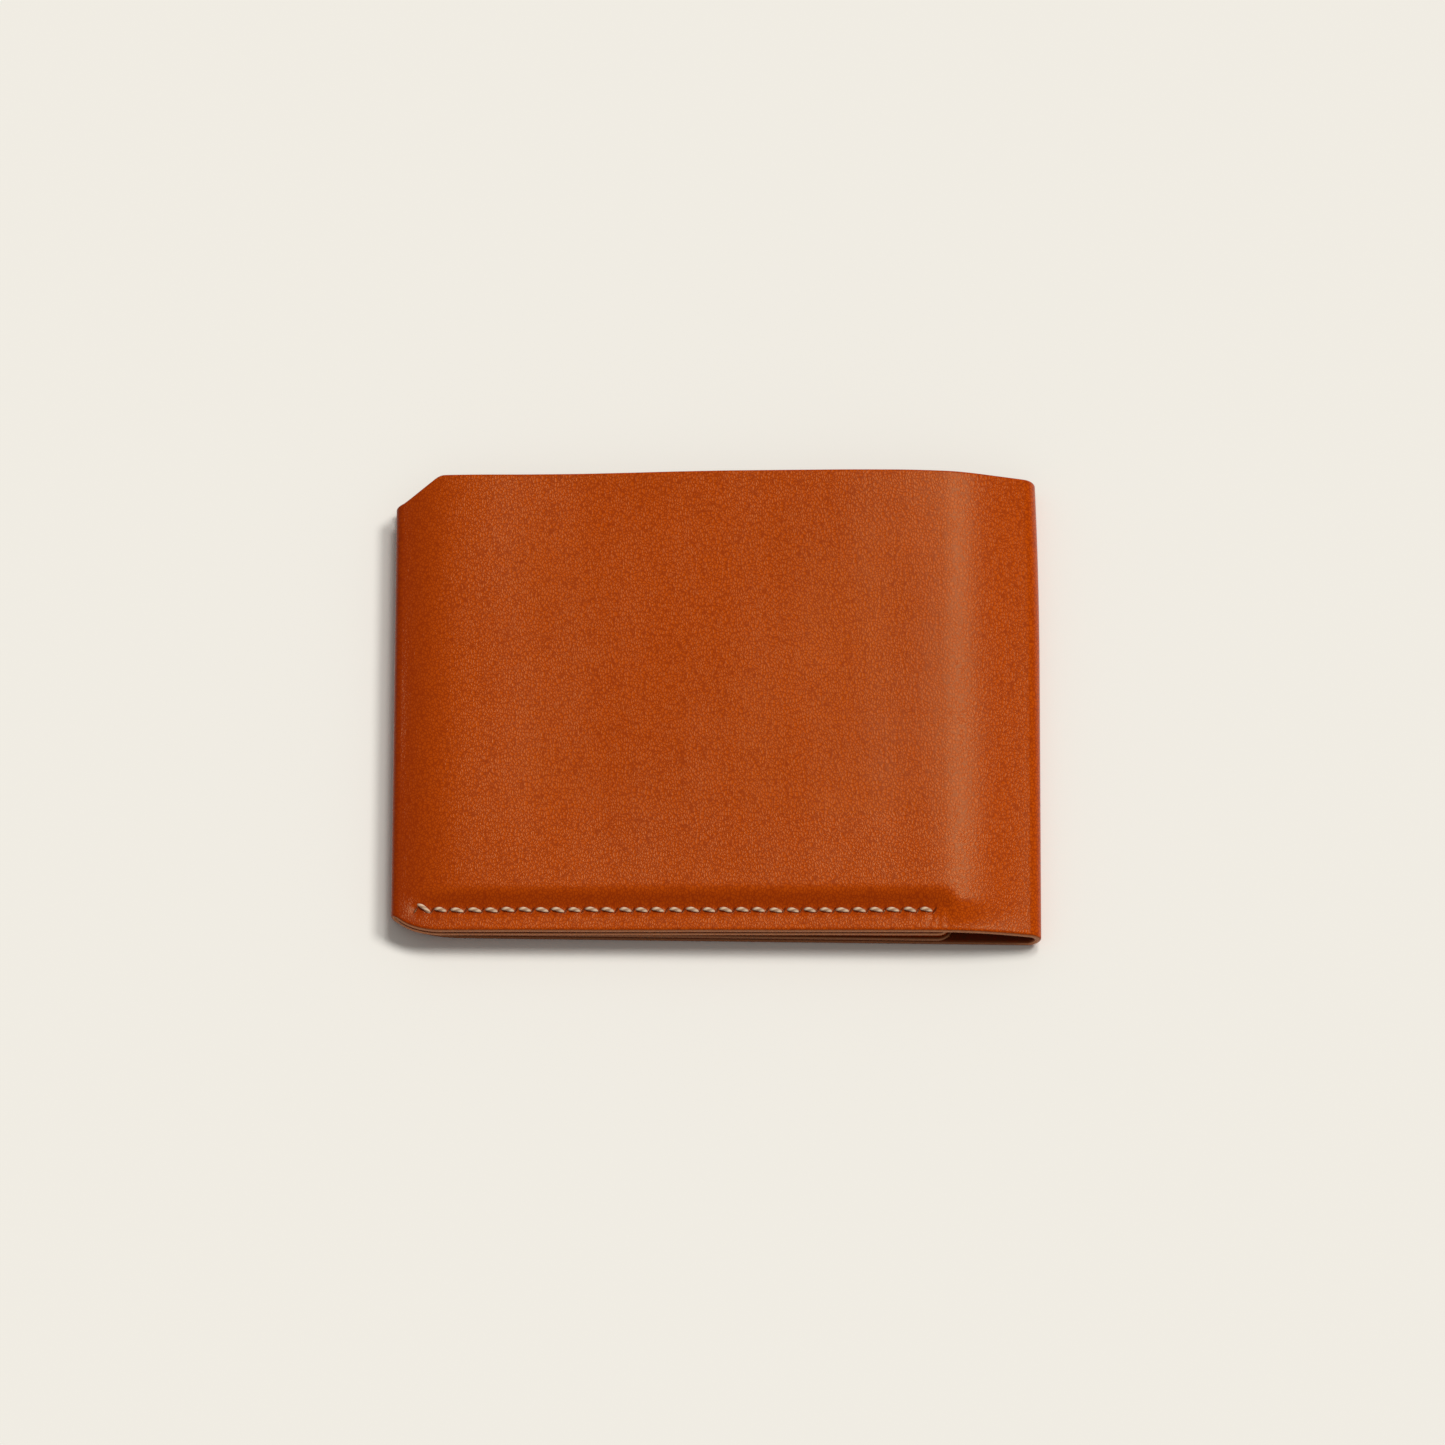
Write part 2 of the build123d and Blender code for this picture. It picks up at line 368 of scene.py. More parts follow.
    def outline(self, rows: Array) -> tuple[Array, Array]:
        """Lowest and highest y of each row.

        The open edge is cut straight over the clipped corner and softened at both ends
        of the cut. The stitched corner is a quarter ellipse. The flaps stop lower, and
        their corners beside the fold are quarter circles.
        """
        s = self.sizes
        across = np.maximum(self.from_free_edge(rows), 0.0)
        zone = self.zone_of_row[rows]
        flap = (zone == Zone.FRONT_FLAP) | (zone == Zone.BACK_FLAP)
        turn = (zone == Zone.FRONT_TURN) | (zone == Zone.BACK_TURN)
        shortfall = self.clip_length - across
        soft = self.clip_soft
        cut = self.clip_drop / self.clip_length * np.where(
            shortfall > soft, shortfall - soft / 2, np.maximum(shortfall, 0.0) ** 2 / (2 * soft)
        )
        from_middle = across - s.half_width
        bow = self.open_bow * smoothstep(-45.0, 5.0, from_middle) * (1 - smoothstep(30.0, 50.0, from_middle))
        bow = np.where(zone <= Zone.FRONT_RISE, bow, 0.0)
        high = np.where(flap, s.flap_top, s.half_height - cut + bow)
        high = np.where(turn, s.flap_top + (high - s.flap_top) * self._towards_cover(rows, zone), high)
        back = zone >= Zone.BACK_COVER
        length = np.where(back, self.back_corner[0], self.corner_length)
        rise = np.where(back, self.back_corner[1], self.corner_rise)
        inside = np.clip(1 - across / length, 0.0, 1.0)
        low = -s.half_height + rise * (1 - np.sqrt(1 - inside**2))
        from_end = s.flap_end - self.line_x[rows].mean(axis=1)
        corner = self.flap_corner - np.sqrt(
            np.maximum(self.flap_corner**2 - np.maximum(self.flap_corner - from_end, 0.0) ** 2, 0.0)
        )
        corner = np.where(flap, corner, 0.0)
        return low + corner, high - corner

    def _towards_cover(self, rows: Array, zone: Array) -> Array:
        """On a turned edge, 0 where it meets the flap and 1 where it meets the cover."""
        share = np.zeros(len(rows))
        for turn, backwards in ((Zone.FRONT_TURN, False), (Zone.BACK_TURN, True)):
            found = zone == turn
            if found.any():
                along = self.developed[rows][found]
                part = (along - along[0]) / (along[-1] - along[0])
                share[found] = 1 - part if backwards else part
        return smoothstep(0.0, 0.55, share)

    def seam_relief(self, across: Array, y: Array, sunk: Array) -> Array:
        """How deep the thread pulls the grain side in, in millimetres.

        A soft trench runs along the seam, deepest at the holes, and fades out past the
        first and the last of them. Where the thread is sunk flush it is a deep groove.
        """
        s = self.sizes
        along = across - (s.first_hole + s.half_width)
        length = s.last_hole - s.first_hole
        inside = smoothstep(-1.6, 0.4, along) * (1 - smoothstep(length - 0.4, length + 1.6, along))
        off = (y - s.seam_y) / self.hollow
        waves = 0.5 + 0.5 * np.cos(2 * math.pi * along / self.pitch)
        shallow = np.exp(-(off**2)) * (0.10 + 0.16 * waves)
        trench = np.exp(-(off**4)) * (0.42 + 0.06 * waves)
        return inside * np.where(sunk, trench, shallow)

    def crumple(self, x: Array, y: Array) -> Array:
        """Broad unevenness of worn leather: a few slow waves in each direction, in millimetres."""
        return (
            0.050 * np.sin(0.071 * x + 0.9) * np.cos(0.093 * y + 0.3)
            + 0.030 * np.sin(0.19 * x - 0.13 * y + 2.1)
            + 0.016 * np.sin(0.41 * x + 0.37 * y) * np.cos(0.33 * y - 0.21 * x + 1.0)
        )

    def end_creases(self, x: Array, y: Array) -> Array:
        """Three short creases that stand across the edge just past the last stitch."""
        s = self.sizes
        depth = np.zeros_like(x)
        for offset, width, lean in ((-0.2, 0.40, 0.25), (0.9, 0.36, 0.12), (2.1, 0.45, -0.05)):
            line = x - (s.last_hole + offset) - lean * (y - s.seam_y)
            fade = 1 - smoothstep(0.4, 2.6, y - s.seam_y)
            depth = depth + 0.06 * np.exp(-((line / width) ** 2)) * fade
        return depth

    def loop(self) -> tuple[Array, Array, Array]:
        """One side of the slab's loop, from the low edge's middle to the high edge's.

        Returns:
            The distance past the low edge, the share of the way across, and the height
            over the middle line as a share of half a ply, for each column.
        """
        corner = np.array([0.0, 0.02, 0.07, 0.16, 0.3, 0.45]) / 0.45
        lift = (1 - (1 - corner) ** 2.4) ** (1 / 2.4)
        seam_band = np.array([0.008, 0.014, 0.020, 0.025, 0.030, 0.034, 0.038, 0.042, 0.046, 0.050,
                              0.055, 0.060, 0.066, 0.072, 0.080, 0.090, 0.100])
        body = np.linspace(0.112, 0.990, 70)
        face = np.zeros(len(seam_band) + len(body))
        share = np.concatenate([np.zeros_like(corner), seam_band, body, np.ones_like(corner)])
        edge = np.concatenate([corner, face, -corner[::-1]])
        height = np.concatenate([lift, face + 1.0, lift[::-1]])
        return edge, share, height

    def slab(self, rows: Array) -> tuple[Array, Array, Array]:
        """Points of the slab over some rows, and what its materials read.

        Args:
            rows: Numbers of the rows.

        Returns:
            Points, in an array of rows by columns by three, the grain coordinates
            (along the strip, up the wallet, through the ply), and the seam coordinates
            (from the first hole, from the seam, 1 where sewn), all in millimetres.
        """
        s = self.sizes
        low, high = self.outline(rows)
        edge, share, height = self.loop()
        around = np.concatenate([np.arange(len(edge)), np.arange(len(edge) - 2, 0, -1)])
        sign = np.concatenate([np.ones(len(edge)), -np.ones(len(edge) - 2)])
        edge, share, height = edge[around], share[around], height[around] * sign
        y = low[:, None] + (high - low)[:, None] * share + self.edge_round * edge
        t = np.clip(y / (2 * s.half_height) + 0.5, -0.05, 1.05)
        zone = self.zone_of_row[rows][:, None]
        x = self._between(self.line_x[rows], t)
        z = self._between(self.line_z[rows], t)
        near_open = np.clip((t - 0.6) / 0.4, 0, 1) ** 2
        x = x - self.spine_draw * near_open * smoothstep(s.crease_x, s.half_width, x)
        front = (zone <= Zone.FRONT_RISE).astype(float)
        puff = self.puff * self._free_of_seam(x, y)
        flap = (zone == Zone.FRONT_FLAP) | (zone == Zone.BACK_FLAP)
        cover = (zone == Zone.FRONT_COVER) | (zone == Zone.FRONT_RISE)
        rising = 1 - smoothstep(s.crease_x - 2.0, s.fold_x, x)
        z = z + np.where(cover, (puff + self.crumple(x, y)) * rising, 0.0)
        tx = self._between(np.gradient(self.line_x, axis=0)[rows], t)
        tz = self._between(np.gradient(self.line_z, axis=0)[rows], t)
        size = np.hypot(tx, tz)
        nx, nz = -tz / size, tx / size
        nose = s.flap_end - self.line_x[rows].mean(axis=1)
        taper = np.sqrt(np.clip(1 - (1 - np.minimum(nose / FLAP_ROUND, 1.0)) ** 2, 0.02, 1.0))[:, None]
        half_ply = s.ply / 2 * np.where(flap, taper, 1.0)
        sewn = (flap | cover | (zone == Zone.BACK_COVER)).astype(float)
        across = x + s.half_width
        sunk = (zone != Zone.FRONT_COVER) & (zone != Zone.FRONT_RISE)
        relief = sewn * self.seam_relief(across, y, sunk) + np.where(cover, self.end_creases(x, y), 0.0)
        out = height * half_ply - np.where(height > 0, relief, 0.0) * (height > 0.2)
        skew = -self.front_skew * np.clip((s.crease_x - x) / (s.crease_x + s.half_width), 0, 1.02) * front
        points = self.lean(np.stack([x + nx * out, y + skew, z + nz * out], axis=-1))
        grain = np.stack(np.broadcast_arrays(self.developed[rows][:, None], y, height), axis=-1)
        from_hole = across - (s.first_hole + s.half_width)
        seam = np.stack(np.broadcast_arrays(from_hole, y - s.seam_y, sewn), axis=-1)
        return points, grain, seam

    def lean(self, points: Array) -> Array:
        """Points moved a little off square, as a hand-cut wallet is."""
        x, y, z = points[..., 0], points[..., 1], points[..., 2]
        return np.stack([x - self.out_of_square * y, y - self.out_of_square * x, z], axis=-1)

    def _free_of_seam(self, x: Array, y: Array) -> Array:
        """0 where the seam holds the front down and 1 where it stands free, above and past it."""
        s = self.sizes
        up = y - s.seam_y
        past = smoothstep(0.2, 4.4, x - s.last_hole) * smoothstep(-3.4, 2.5, up)
        held = (1 - smoothstep(0.6, 4.1, up)) * (1 - past)
        from_turn = np.maximum(x + s.half_width - 1.2, 0.0)
        return (1 - held) * (1 - np.exp(-((from_turn / 6.0) ** 1.6)))

    @staticmethod
    def _between(ends: Array, t: Array) -> Array:
        """Values between the wallet's two ends, t being 0 at the stitched one."""
        return ends[:, :1] * (1 - t) + ends[:, 1:] * t

    def outer_height(self, half: Half, flap: bool, x: Array, y: Array) -> Array:
        """Height of a grain face over the surface, at places in the sewn region.

        Args:
            half: Which half.
            flap: Whether the pocket flap's face is wanted, and not the cover's.
            x: Places across the wallet.
            y: Places up the wallet.

        Returns:
            The heights of the face, in millimetres.
        """
        s = self.sizes
        gap = 2 * (s.turn_radius - s.ply / 2)
        if half is Half.BACK:
            return np.full_like(x, s.ply + gap if flap else 0.0)
        t = y / (2 * s.half_height) + 0.5
        middle = self.front_line(STITCHED_END, x) * (1 - t) + self.front_line(OPEN_END, x) * t
        if flap:
            return middle - gap - s.ply / 2
        return middle + s.ply / 2 + self.crumple(x, y)

    def build(self, name: str, rows: Array) -> Piece:
        """Makes one piece of the leather: the slab over some rows, closed at both ends.

        Args:
            name: Name of the piece.
            rows: Numbers of the rows.

        Returns:
            The piece, with its grain and seam coordinates stored on its points.
        """
        points, grain, seam = self.slab(rows)
        count, columns = points.shape[:2]
        index = np.arange(count * columns).reshape(count, columns)
        here, after = index[:-1], np.roll(index[:-1], -1, axis=1)
        there, beyond = index[1:], np.roll(index[1:], -1, axis=1)
        sides = np.stack([here, after, beyond, there], axis=-1).reshape(-1, 4)
        half = columns // 2
        upper = np.arange(0, half)
        mirror = (columns - np.arange(0, half + 1)) % columns
        caps = []
        for row, order in ((index[0], -1), (index[-1], 1)):
            across, back = row[upper + 1], row[mirror[upper + 1]]
            quads = np.stack([row[upper], across, back, row[mirror[upper]]], axis=-1)[:, ::order]
            caps += [[v for k, v in enumerate(quad) if v not in quad[:k]] for quad in quads.tolist()]
        piece = add_piece(name, points, sides.tolist(), caps, grain_mm=grain, seam_mm=seam)
        self._sharpen_caps(piece.data, index)
        return piece

    @staticmethod
    def _sharpen_caps(mesh: bpy.types.Mesh, index: Array) -> None:
        """Marks the edges round both end caps as sharp, so that they don't bend the shading."""
        ends = set(index[0].tolist()) | set(index[-1].tolist())
        sharp = mesh.attributes.get("sharp_edge") or mesh.attributes.new("sharp_edge", "BOOLEAN", "EDGE")
        verts = np.zeros(len(mesh.edges) * 2, dtype=np.int32)
        mesh.edges.foreach_get("vertices", verts)
        in_end = np.isin(verts.reshape(-1, 2), list(ends)).all(axis=1)
        sharp.data.foreach_set("value", in_end)


@dataclass
class SaddleSeam:
    """One seam of twisted linen thread: a slanted stitch between each two holes, on both faces."""

    shell: LeatherShell
    half: Half
    slant: float = 12.0  # turn of a stitch off the seam's line, in degrees
    first_slant: float = 37.0  # the same for the first one
    first_lift: float = 0.35  # the first stitch sits this far up from the line
    first_longer: float = 0.22  # and is longer by this share of the pitch
    radius: float = 0.39
    visible: float = 0.80  # share of the pitch that a stitch shows
    spread: tuple[float, ...] = (0.06, 0.05, 2.0, 0.03)  # along the seam, off it, in slant, in length
    sunk_back: float = 0.50  # the stitches lie this deep in the face that the wallet rests on
    sunk_flap: float = 0.40  # and this deep in the pocket flaps
    around: int = 15
    along: int = 14

    def _stitch(self, centre: Array, slant: float, face: float, length: float) -> Array:
        """Points of one stitch: a rope of three strands, plump in the middle and sunk at its ends.

        The rope's radius has three lobes that turn as they go along, its middle line
        rises over the leather like an arch, and both its ends dive into the holes.

        Args:
            centre: Middle of the stitch on the leather's face.
            slant: Turn off the seam's line, in degrees, towards the stitched edge.
            face: 1 on a face that looks up and -1 on one that looks down.
            length: Length from end to end.

        Returns:
            Points, in an array of rings by columns by three.
        """
        a = np.linspace(-1.0, 1.0, self.along)[:, None]
        theta = np.linspace(0, 2 * math.pi, self.around, endpoint=False)[None, :]
        plump = np.sqrt(np.maximum(1 - np.abs(a) ** 2.3, 0.02))
        lobes = 0.90 + 0.10 * np.cos(3 * theta + 5.2 * a)
        r = self.radius * plump * lobes
        turn = math.radians(-slant)
        rise = 0.16 * (1 - a**2) - 0.30 * np.abs(a) ** 4 - 0.02
        side = r * np.cos(theta)
        up = r * 0.82 * np.sin(theta) + rise
        x = a * length / 2 * math.cos(turn) - side * math.sin(turn)
        y = a * length / 2 * math.sin(turn) + side * math.cos(turn)
        return centre + np.stack([x, y, face * up], axis=-1)

    def build(self) -> Piece:
        """Makes the seam's stitches on both faces as one piece, with coordinates along each."""
        s, pitch = self.shell.sizes, self.shell.pitch
        count = int(round((s.last_hole - s.first_hole) / pitch))
        points, fibres, faces = [], [], []
        draws = np.random.default_rng(41 if self.half is Half.FRONT else 42)
        base = 0
        for flap in (False, True):
            up = (self.half is Half.FRONT) != flap
            for i in range(count):
                jitter = draws.normal(0, 1, 4) * self.spread
                x = s.first_hole + (i + 0.5) * pitch + jitter[0]
                y = s.seam_y + jitter[1] + (self.first_lift if i == 0 else 0.0)
                slant = (self.first_slant if i == 0 else self.slant) + jitter[2]
                slant = slant if up or not flap else -slant
                length = pitch * (self.visible + (self.first_longer if i == 0 else 0.0)) * (1 + jitter[3])
                z = self.shell.outer_height(self.half, flap, np.array([x]), np.array([y]))[0]
                skew = 0.0
                if self.half is Half.FRONT:
                    skew = -self.shell.front_skew * (s.crease_x - x) / (s.crease_x + s.half_width)
                sunk = self.sunk_flap if flap else (self.sunk_back if self.half is Half.BACK else 0.0)
                z -= sunk if up else -sunk
                centre = self.shell.lean(np.array([x, y + skew, z]))
                ring = self._stitch(centre, slant, 1.0 if up else -1.0, length)
                rings, columns = ring.shape[:2]
                index = base + np.arange(rings * columns).reshape(rings, columns)
                turned = np.roll(index, -1, 1)
                quads = np.stack([index[:-1], turned[:-1], turned[1:], index[1:]], -1)
                order = -1 if up else 1
                faces += quads.reshape(-1, 4)[:, ::order].tolist()
                faces += [index[0][::-order].tolist(), index[-1][::order].tolist()]
                a = np.linspace(0, 1, rings)[:, None] * np.ones((1, columns))
                wrap = np.linspace(0, 1, columns, endpoint=False)[None, :] * np.ones((rings, 1))
                seed = np.full_like(a, i * 7.3 + 3 * flap)
                fibres.append(np.stack([a * length, wrap, seed], -1).reshape(-1, 3))
                points.append(ring.reshape(-1, 3))
                base += rings * columns
        name = f"{self.half.name.lower()}_seam_stitches"
        return add_piece(name, np.concatenate(points), faces, [], fibre_mm=np.concatenate(fibres))


class NodeTree:
    """A short hand for building a material's nodes."""

    def __init__(self, name: str) -> None:
        """Starts a material with a Principled shader and an output."""
        self.material = bpy.data.materials.new(name)
        self.material.use_nodes = True
        self.tree = self.material.node_tree
        self.tree.nodes.clear()
        self.shader = self.tree.nodes.new("ShaderNodeBsdfPrincipled")
        output = self.tree.nodes.new("ShaderNodeOutputMaterial")
        self.tree.links.new(self.shader.outputs[0], output.inputs["Surface"])

    def node(self, kind: str, inputs: dict, **settings: object) -> bpy.types.Node:
        """Adds a node, sets its properties and fills its sockets."""
        made = self.tree.nodes.new(kind)
        for key, value in settings.items():
            setattr(made, key, value)
        self.fill(made, inputs)
        return made

    def fill(self, node: bpy.types.Node, inputs: dict) -> None:
        """Joins a node's sockets to other ones, or sets them to constants."""
        for key, value in inputs.items():
            if isinstance(value, Socket):
                self.tree.links.new(value, node.inputs[key])
            else:
                node.inputs[key].default_value = value

    def dress(self, inputs: dict) -> bpy.types.Material:
        """Fills the shader's sockets and gives the finished material."""
        self.fill(self.shader, inputs)
        return self.material

    def math(self, operation: str, a: object, b: object = 0.0) -> Socket:
        """A Math node on sockets or numbers."""
        return self.node("ShaderNodeMath", {0: a, 1: b}, operation=operation).outputs[0]

    def times(self, a: object, b: object) -> Socket:
        """a x b."""
        return self.math("MULTIPLY", a, b)

    def plus(self, a: object, b: object) -> Socket:
        """a + b."""
        return self.math("ADD", a, b)

    def inverse(self, value: Socket) -> Socket:
        """1 where a mask is 0, and 0 where it is 1."""
        return self.math("SUBTRACT", 1.0, value)

    def attribute(self, name: str) -> Socket:
        """A vector stored on the mesh's points."""
        return self.node("ShaderNodeAttribute", {}, attribute_name=name).outputs["Vector"]

    def split(self, vector: Socket) -> list[Socket]:
        """The three parts of a vector."""
        return list(self.node("ShaderNodeSeparateXYZ", {0: vector}).outputs)

    def stretch(self, vector: Socket, scale: Triple) -> Socket:
        """A vector with each part multiplied."""
        return self.node("ShaderNodeVectorMath", {0: vector, 1: scale}, operation="MULTIPLY").outputs[0]

    def noise(self, vector: Socket, scale: float, detail: float) -> Socket:
        """Smooth noise, from 0 to 1."""
        made = self.node("ShaderNodeTexNoise", {"Vector": vector, "Scale": scale, "Detail": detail})
        return made.outputs["Fac"]

    def cells(self, vector: Socket, scale: float, feature: str = "F1") -> Socket:
        """Distance to the nearest of scattered points, or to the border between their cells."""
        made = self.node("ShaderNodeTexVoronoi", {"Vector": vector, "Scale": scale}, feature=feature)
        return made.outputs["Distance"]

    def ramp(self, value: Socket, low: float, high: float, to_low: float = 0.0,
             to_high: float = 1.0) -> Socket:
        """A smooth step of a value between two levels."""
        levels = {"Value": value, "From Min": low, "From Max": high, "To Min": to_low, "To Max": to_high}
        made = self.node("ShaderNodeMapRange", levels, interpolation_type="SMOOTHSTEP")
        return made.outputs["Result"]

    def mix(self, share: Socket, a: object, b: object) -> Socket:
        """A Mix node on colours."""
        return self.node("ShaderNodeMix", {0: share, 6: a, 7: b}, data_type="RGBA").outputs[2]

    def bump(self, height: Socket, distance: float, strength: float) -> Socket:
        """A Bump node; distance is in metres."""
        inputs = {"Distance": distance, "Strength": strength, "Height": height}
        return self.node("ShaderNodeBump", inputs).outputs[0]


@dataclass(frozen=True)
class TannedLeather:
    """Tan full-grain leather: pebbled grain, pores, painted shade along its edges and seam, and a suede
    flesh side.
    """

    body: Colour = (0.462, 0.061, 0.0003, 1.0)
    # deep also serves as painted shade along the free edge and the seam
    deep: Colour = (0.205, 0.0145, 0.0002, 1.0)
    pale: Colour = (0.49, 0.080, 0.004, 1.0)
    cut: Colour = (0.62, 0.27, 0.11, 1.0)
    flesh: Colour = (0.105, 0.036, 0.014, 1.0)
    # dark marks for pores and scars, also used as painted shade on the cut edges' rounding and on the flaps'
    # edges
    scar_and_shade: Colour = (0.060, 0.012, 0.003, 1.0)
    # the slits at the holes are painted near black, as painted shade in the holes
    slit: Colour = (0.018, 0.005, 0.002, 1.0)
    gloss_tint: Colour = (1.0, 0.76, 0.36, 1.0)
    gloss_level: float = 0.15
    roughness: float = 0.228
    relief: float = 0.000026  # depth of the grain, in metres
    slit_turn: float = math.radians(62)  # of a stitch hole's slit, off the seam's line
    slit_reach: tuple[float, float] = (0.78, 0.21)  # half its length and width, in millimetres

    def make(self, name: str, spans: Triple, holes: float,
             pitch: float) -> bpy.types.Material:
        """Builds the material from the grain and seam coordinates stored on the points.

        The grain is a web of small cells, drawn out a little up the wallet, over fine
        noise. Pores, a slow change of colour and a few scars lie over it. The cut edge
        and the flesh side take their own colours by the third grain coordinate. Painted
        shade darkens the free edge, the seam, the cut edges and the flaps' edges, and
        near the seam a slanted slit at each hole is painted dark as shade.

        Args:
            name: The material's name.
            spans: Where along the strip the front flap ends, the back starts and the back flap starts.
            holes: Number of gaps between holes.
            pitch: Distance between holes.

        Returns:
            The material.
        """
        n = NodeTree(name)
        flap_end, back_start, back_flap = spans
        grain = n.attribute("grain_mm")
        run, _, depth = n.split(grain)
        flat = n.stretch(grain, (1.0, 0.70, 0.0))
        web = n.cells(self._wobbled(n, flat), 2.15, "DISTANCE_TO_EDGE")
        pebble = n.ramp(web, 0.0, 0.19)
        dome = n.ramp(web, 0.0, 0.36)
        fine = n.noise(flat, 3.0, 1.0)
        pores = n.ramp(n.cells(flat, 1.9), 0.05, 0.14)
        slow = n.noise(flat, 0.035, 2.0)
        mottle = n.noise(flat, 0.45, 2.0)
        grain_side = n.ramp(depth, 0.55, 0.95)
        flesh_side = n.ramp(depth, -0.95, -0.60, 1.0, 0.0)
        colour = n.mix(n.ramp(slow, 0.30, 0.70, 0.90, 1.0), self.deep, self.body)
        layers = (
            (n.ramp(mottle, 0.35, 0.75), 0.12, self.pale),
            # painted shade along the free edge and in the dip over the seam, in the deep colour
            (self._painted_edge_and_seam_shade(n), 0.80, self.deep),
            (n.inverse(pebble), 0.62, self.deep),
            (n.inverse(pores), 0.25, self.scar_and_shade),
            (n.inverse(n.ramp(n.cells(flat, 0.045), 0.010, 0.022)), 0.55, self.scar_and_shade),
            (n.inverse(n.ramp(n.cells(flat, 0.061), 0.006, 0.016)), 0.45, self.pale),
        )
        for mask, share, over in layers:
            colour = n.mix(n.times(mask, share), colour, over)
        fibre = n.noise(n.stretch(grain, (2.2, 2.2, 5.0)), 1.6, 5.0)
        cut = n.mix(fibre, self.deep, self.cut)
        back_painted_shade = n.ramp(run, back_start - 2.0, back_start + 2.0)
        is_flap = n.math("MAXIMUM", n.ramp(run, flap_end - 1.0, flap_end + 1.0, 1.0, 0.0),
                         n.ramp(run, back_flap - 1.0, back_flap + 1.0))
        # painted shade: the back half's cut edges, low under the front half, are darkened towards the flesh
        # colour
        cut = n.mix(n.times(back_painted_shade, 0.55), cut, self.flesh)
        # painted shade: a dark line on the rounding of each cut edge, where the plies meet
        cut = n.mix(n.ramp(n.math("ABSOLUTE", depth), 0.45, 0.85, 0.0, 0.85), cut, self.scar_and_shade)
        flesh = n.mix(n.noise(flat, 1.3, 5.0), self.deep, self.flesh)
        # painted shade on the rounding of the flaps' edges, which lie in the dark gap between the plies
        painted_flap_edge_shade = n.times(is_flap, n.ramp(depth, 0.985, 0.999, 1.0, 0.0))
        colour = n.mix(n.times(painted_flap_edge_shade, 0.80), colour, self.scar_and_shade)
        colour = n.mix(n.inverse(grain_side), colour, cut)
        colour = n.mix(flesh_side, colour, flesh)
        height = n.plus(n.times(dome, 0.62), n.times(fine, 0.28))
        height = n.plus(height, n.times(pores, 0.18))
        height = n.plus(height, n.times(mottle, 0.35))
        rough = n.plus(n.times(fine, 0.10), self.roughness - 0.05)
        # painted shade: each hole's slit is darkened near black on the grain side
        side = n.times(self._slits(n, holes, pitch), grain_side)
        colour = n.mix(n.times(side, 0.80), colour, self.slit)
        height = n.math("SUBTRACT", height, n.times(side, 2.2))
        # painted shade in the trench along the seam
        colour = n.mix(n.times(self._painted_seam_shade(n, holes, pitch), 0.30), colour, self.deep)
        return n.dress({
            "Base Color": colour,
            "Roughness": n.plus(rough, n.times(flesh_side, 0.3)),
            "Normal": n.bump(height, self.relief, 0.8),
            "IOR": 1.48,
            "Specular IOR Level": self.gloss_level,
            "Specular Tint": self.gloss_tint,
        })

    def _wobbled(self, n: NodeTree, flat: Socket) -> Socket:
        """The grain's coordinates, pushed about so that its cells aren't all alike."""
        noise = n.node("ShaderNodeTexNoise", {"Vector": flat, "Scale": 0.9})
        push = n.stretch(noise.outputs["Color"], (0.5, 0.5, 0.0))
        return n.node("ShaderNodeVectorMath", {0: flat, 1: push}, operation="ADD").outputs[0]

    def _painted_edge_and_seam_shade(self, n: NodeTree) -> Socket:
        """Mask of painted shade: along the free edge, where the cover rounds away from the light, and in the
        dip over the seam.
        """
        along, off, _ = n.split(n.attribute("seam_mm"))
        edge = n.ramp(along, -7.0, 14.0, 1.0, 0.0)
        groove = n.times(n.ramp(off, 0.2, 1.2), n.ramp(off, 1.9, 4.6, 1.0, 0.0))
        groove = n.times(groove, n.ramp(along, 86.0, 93.0, 0.55, 0.0))
        return n.math("MAXIMUM", n.times(edge, edge), groove)

    def _slits(self, n: NodeTree, holes: float, pitch: float) -> Socket:
        """Mask of a slanted slit at each stitch hole."""
        along, off, sewn = n.split(n.attribute("seam_mm"))
        turns = n.math("DIVIDE", along, pitch)
        nearest = n.math("MINIMUM", n.math("MAXIMUM", n.math("ROUND", turns), 0.0), holes)
        dx = n.times(n.math("SUBTRACT", turns, nearest), pitch)
        cos, sin = math.cos(self.slit_turn), math.sin(self.slit_turn)
        a = n.math("DIVIDE", n.plus(n.times(dx, cos), n.times(off, sin)), self.slit_reach[0])
        b = n.math("DIVIDE", n.math("SUBTRACT", n.times(off, cos), n.times(dx, sin)), self.slit_reach[1])
        distance = n.math("SQRT", n.plus(n.times(a, a), n.times(b, b)))
        return n.times(n.ramp(distance, 0.55, 1.15, 1.0, 0.0), sewn)

    def _painted_seam_shade(self, n: NodeTree, holes: float, pitch: float) -> Socket:
        """Mask of painted shade right along the seam, in the trench that the thread pulls in."""
        along, off, sewn = n.split(n.attribute("seam_mm"))
        near = n.ramp(n.math("ABSOLUTE", off), 0.35, 1.25, 1.0, 0.0)
        last = holes * pitch
        inside = n.times(n.ramp(along, -1.0, 0.4), n.ramp(along, last, last + 1.2, 1.0, 0.0))
        return n.times(n.times(near, inside), sewn)


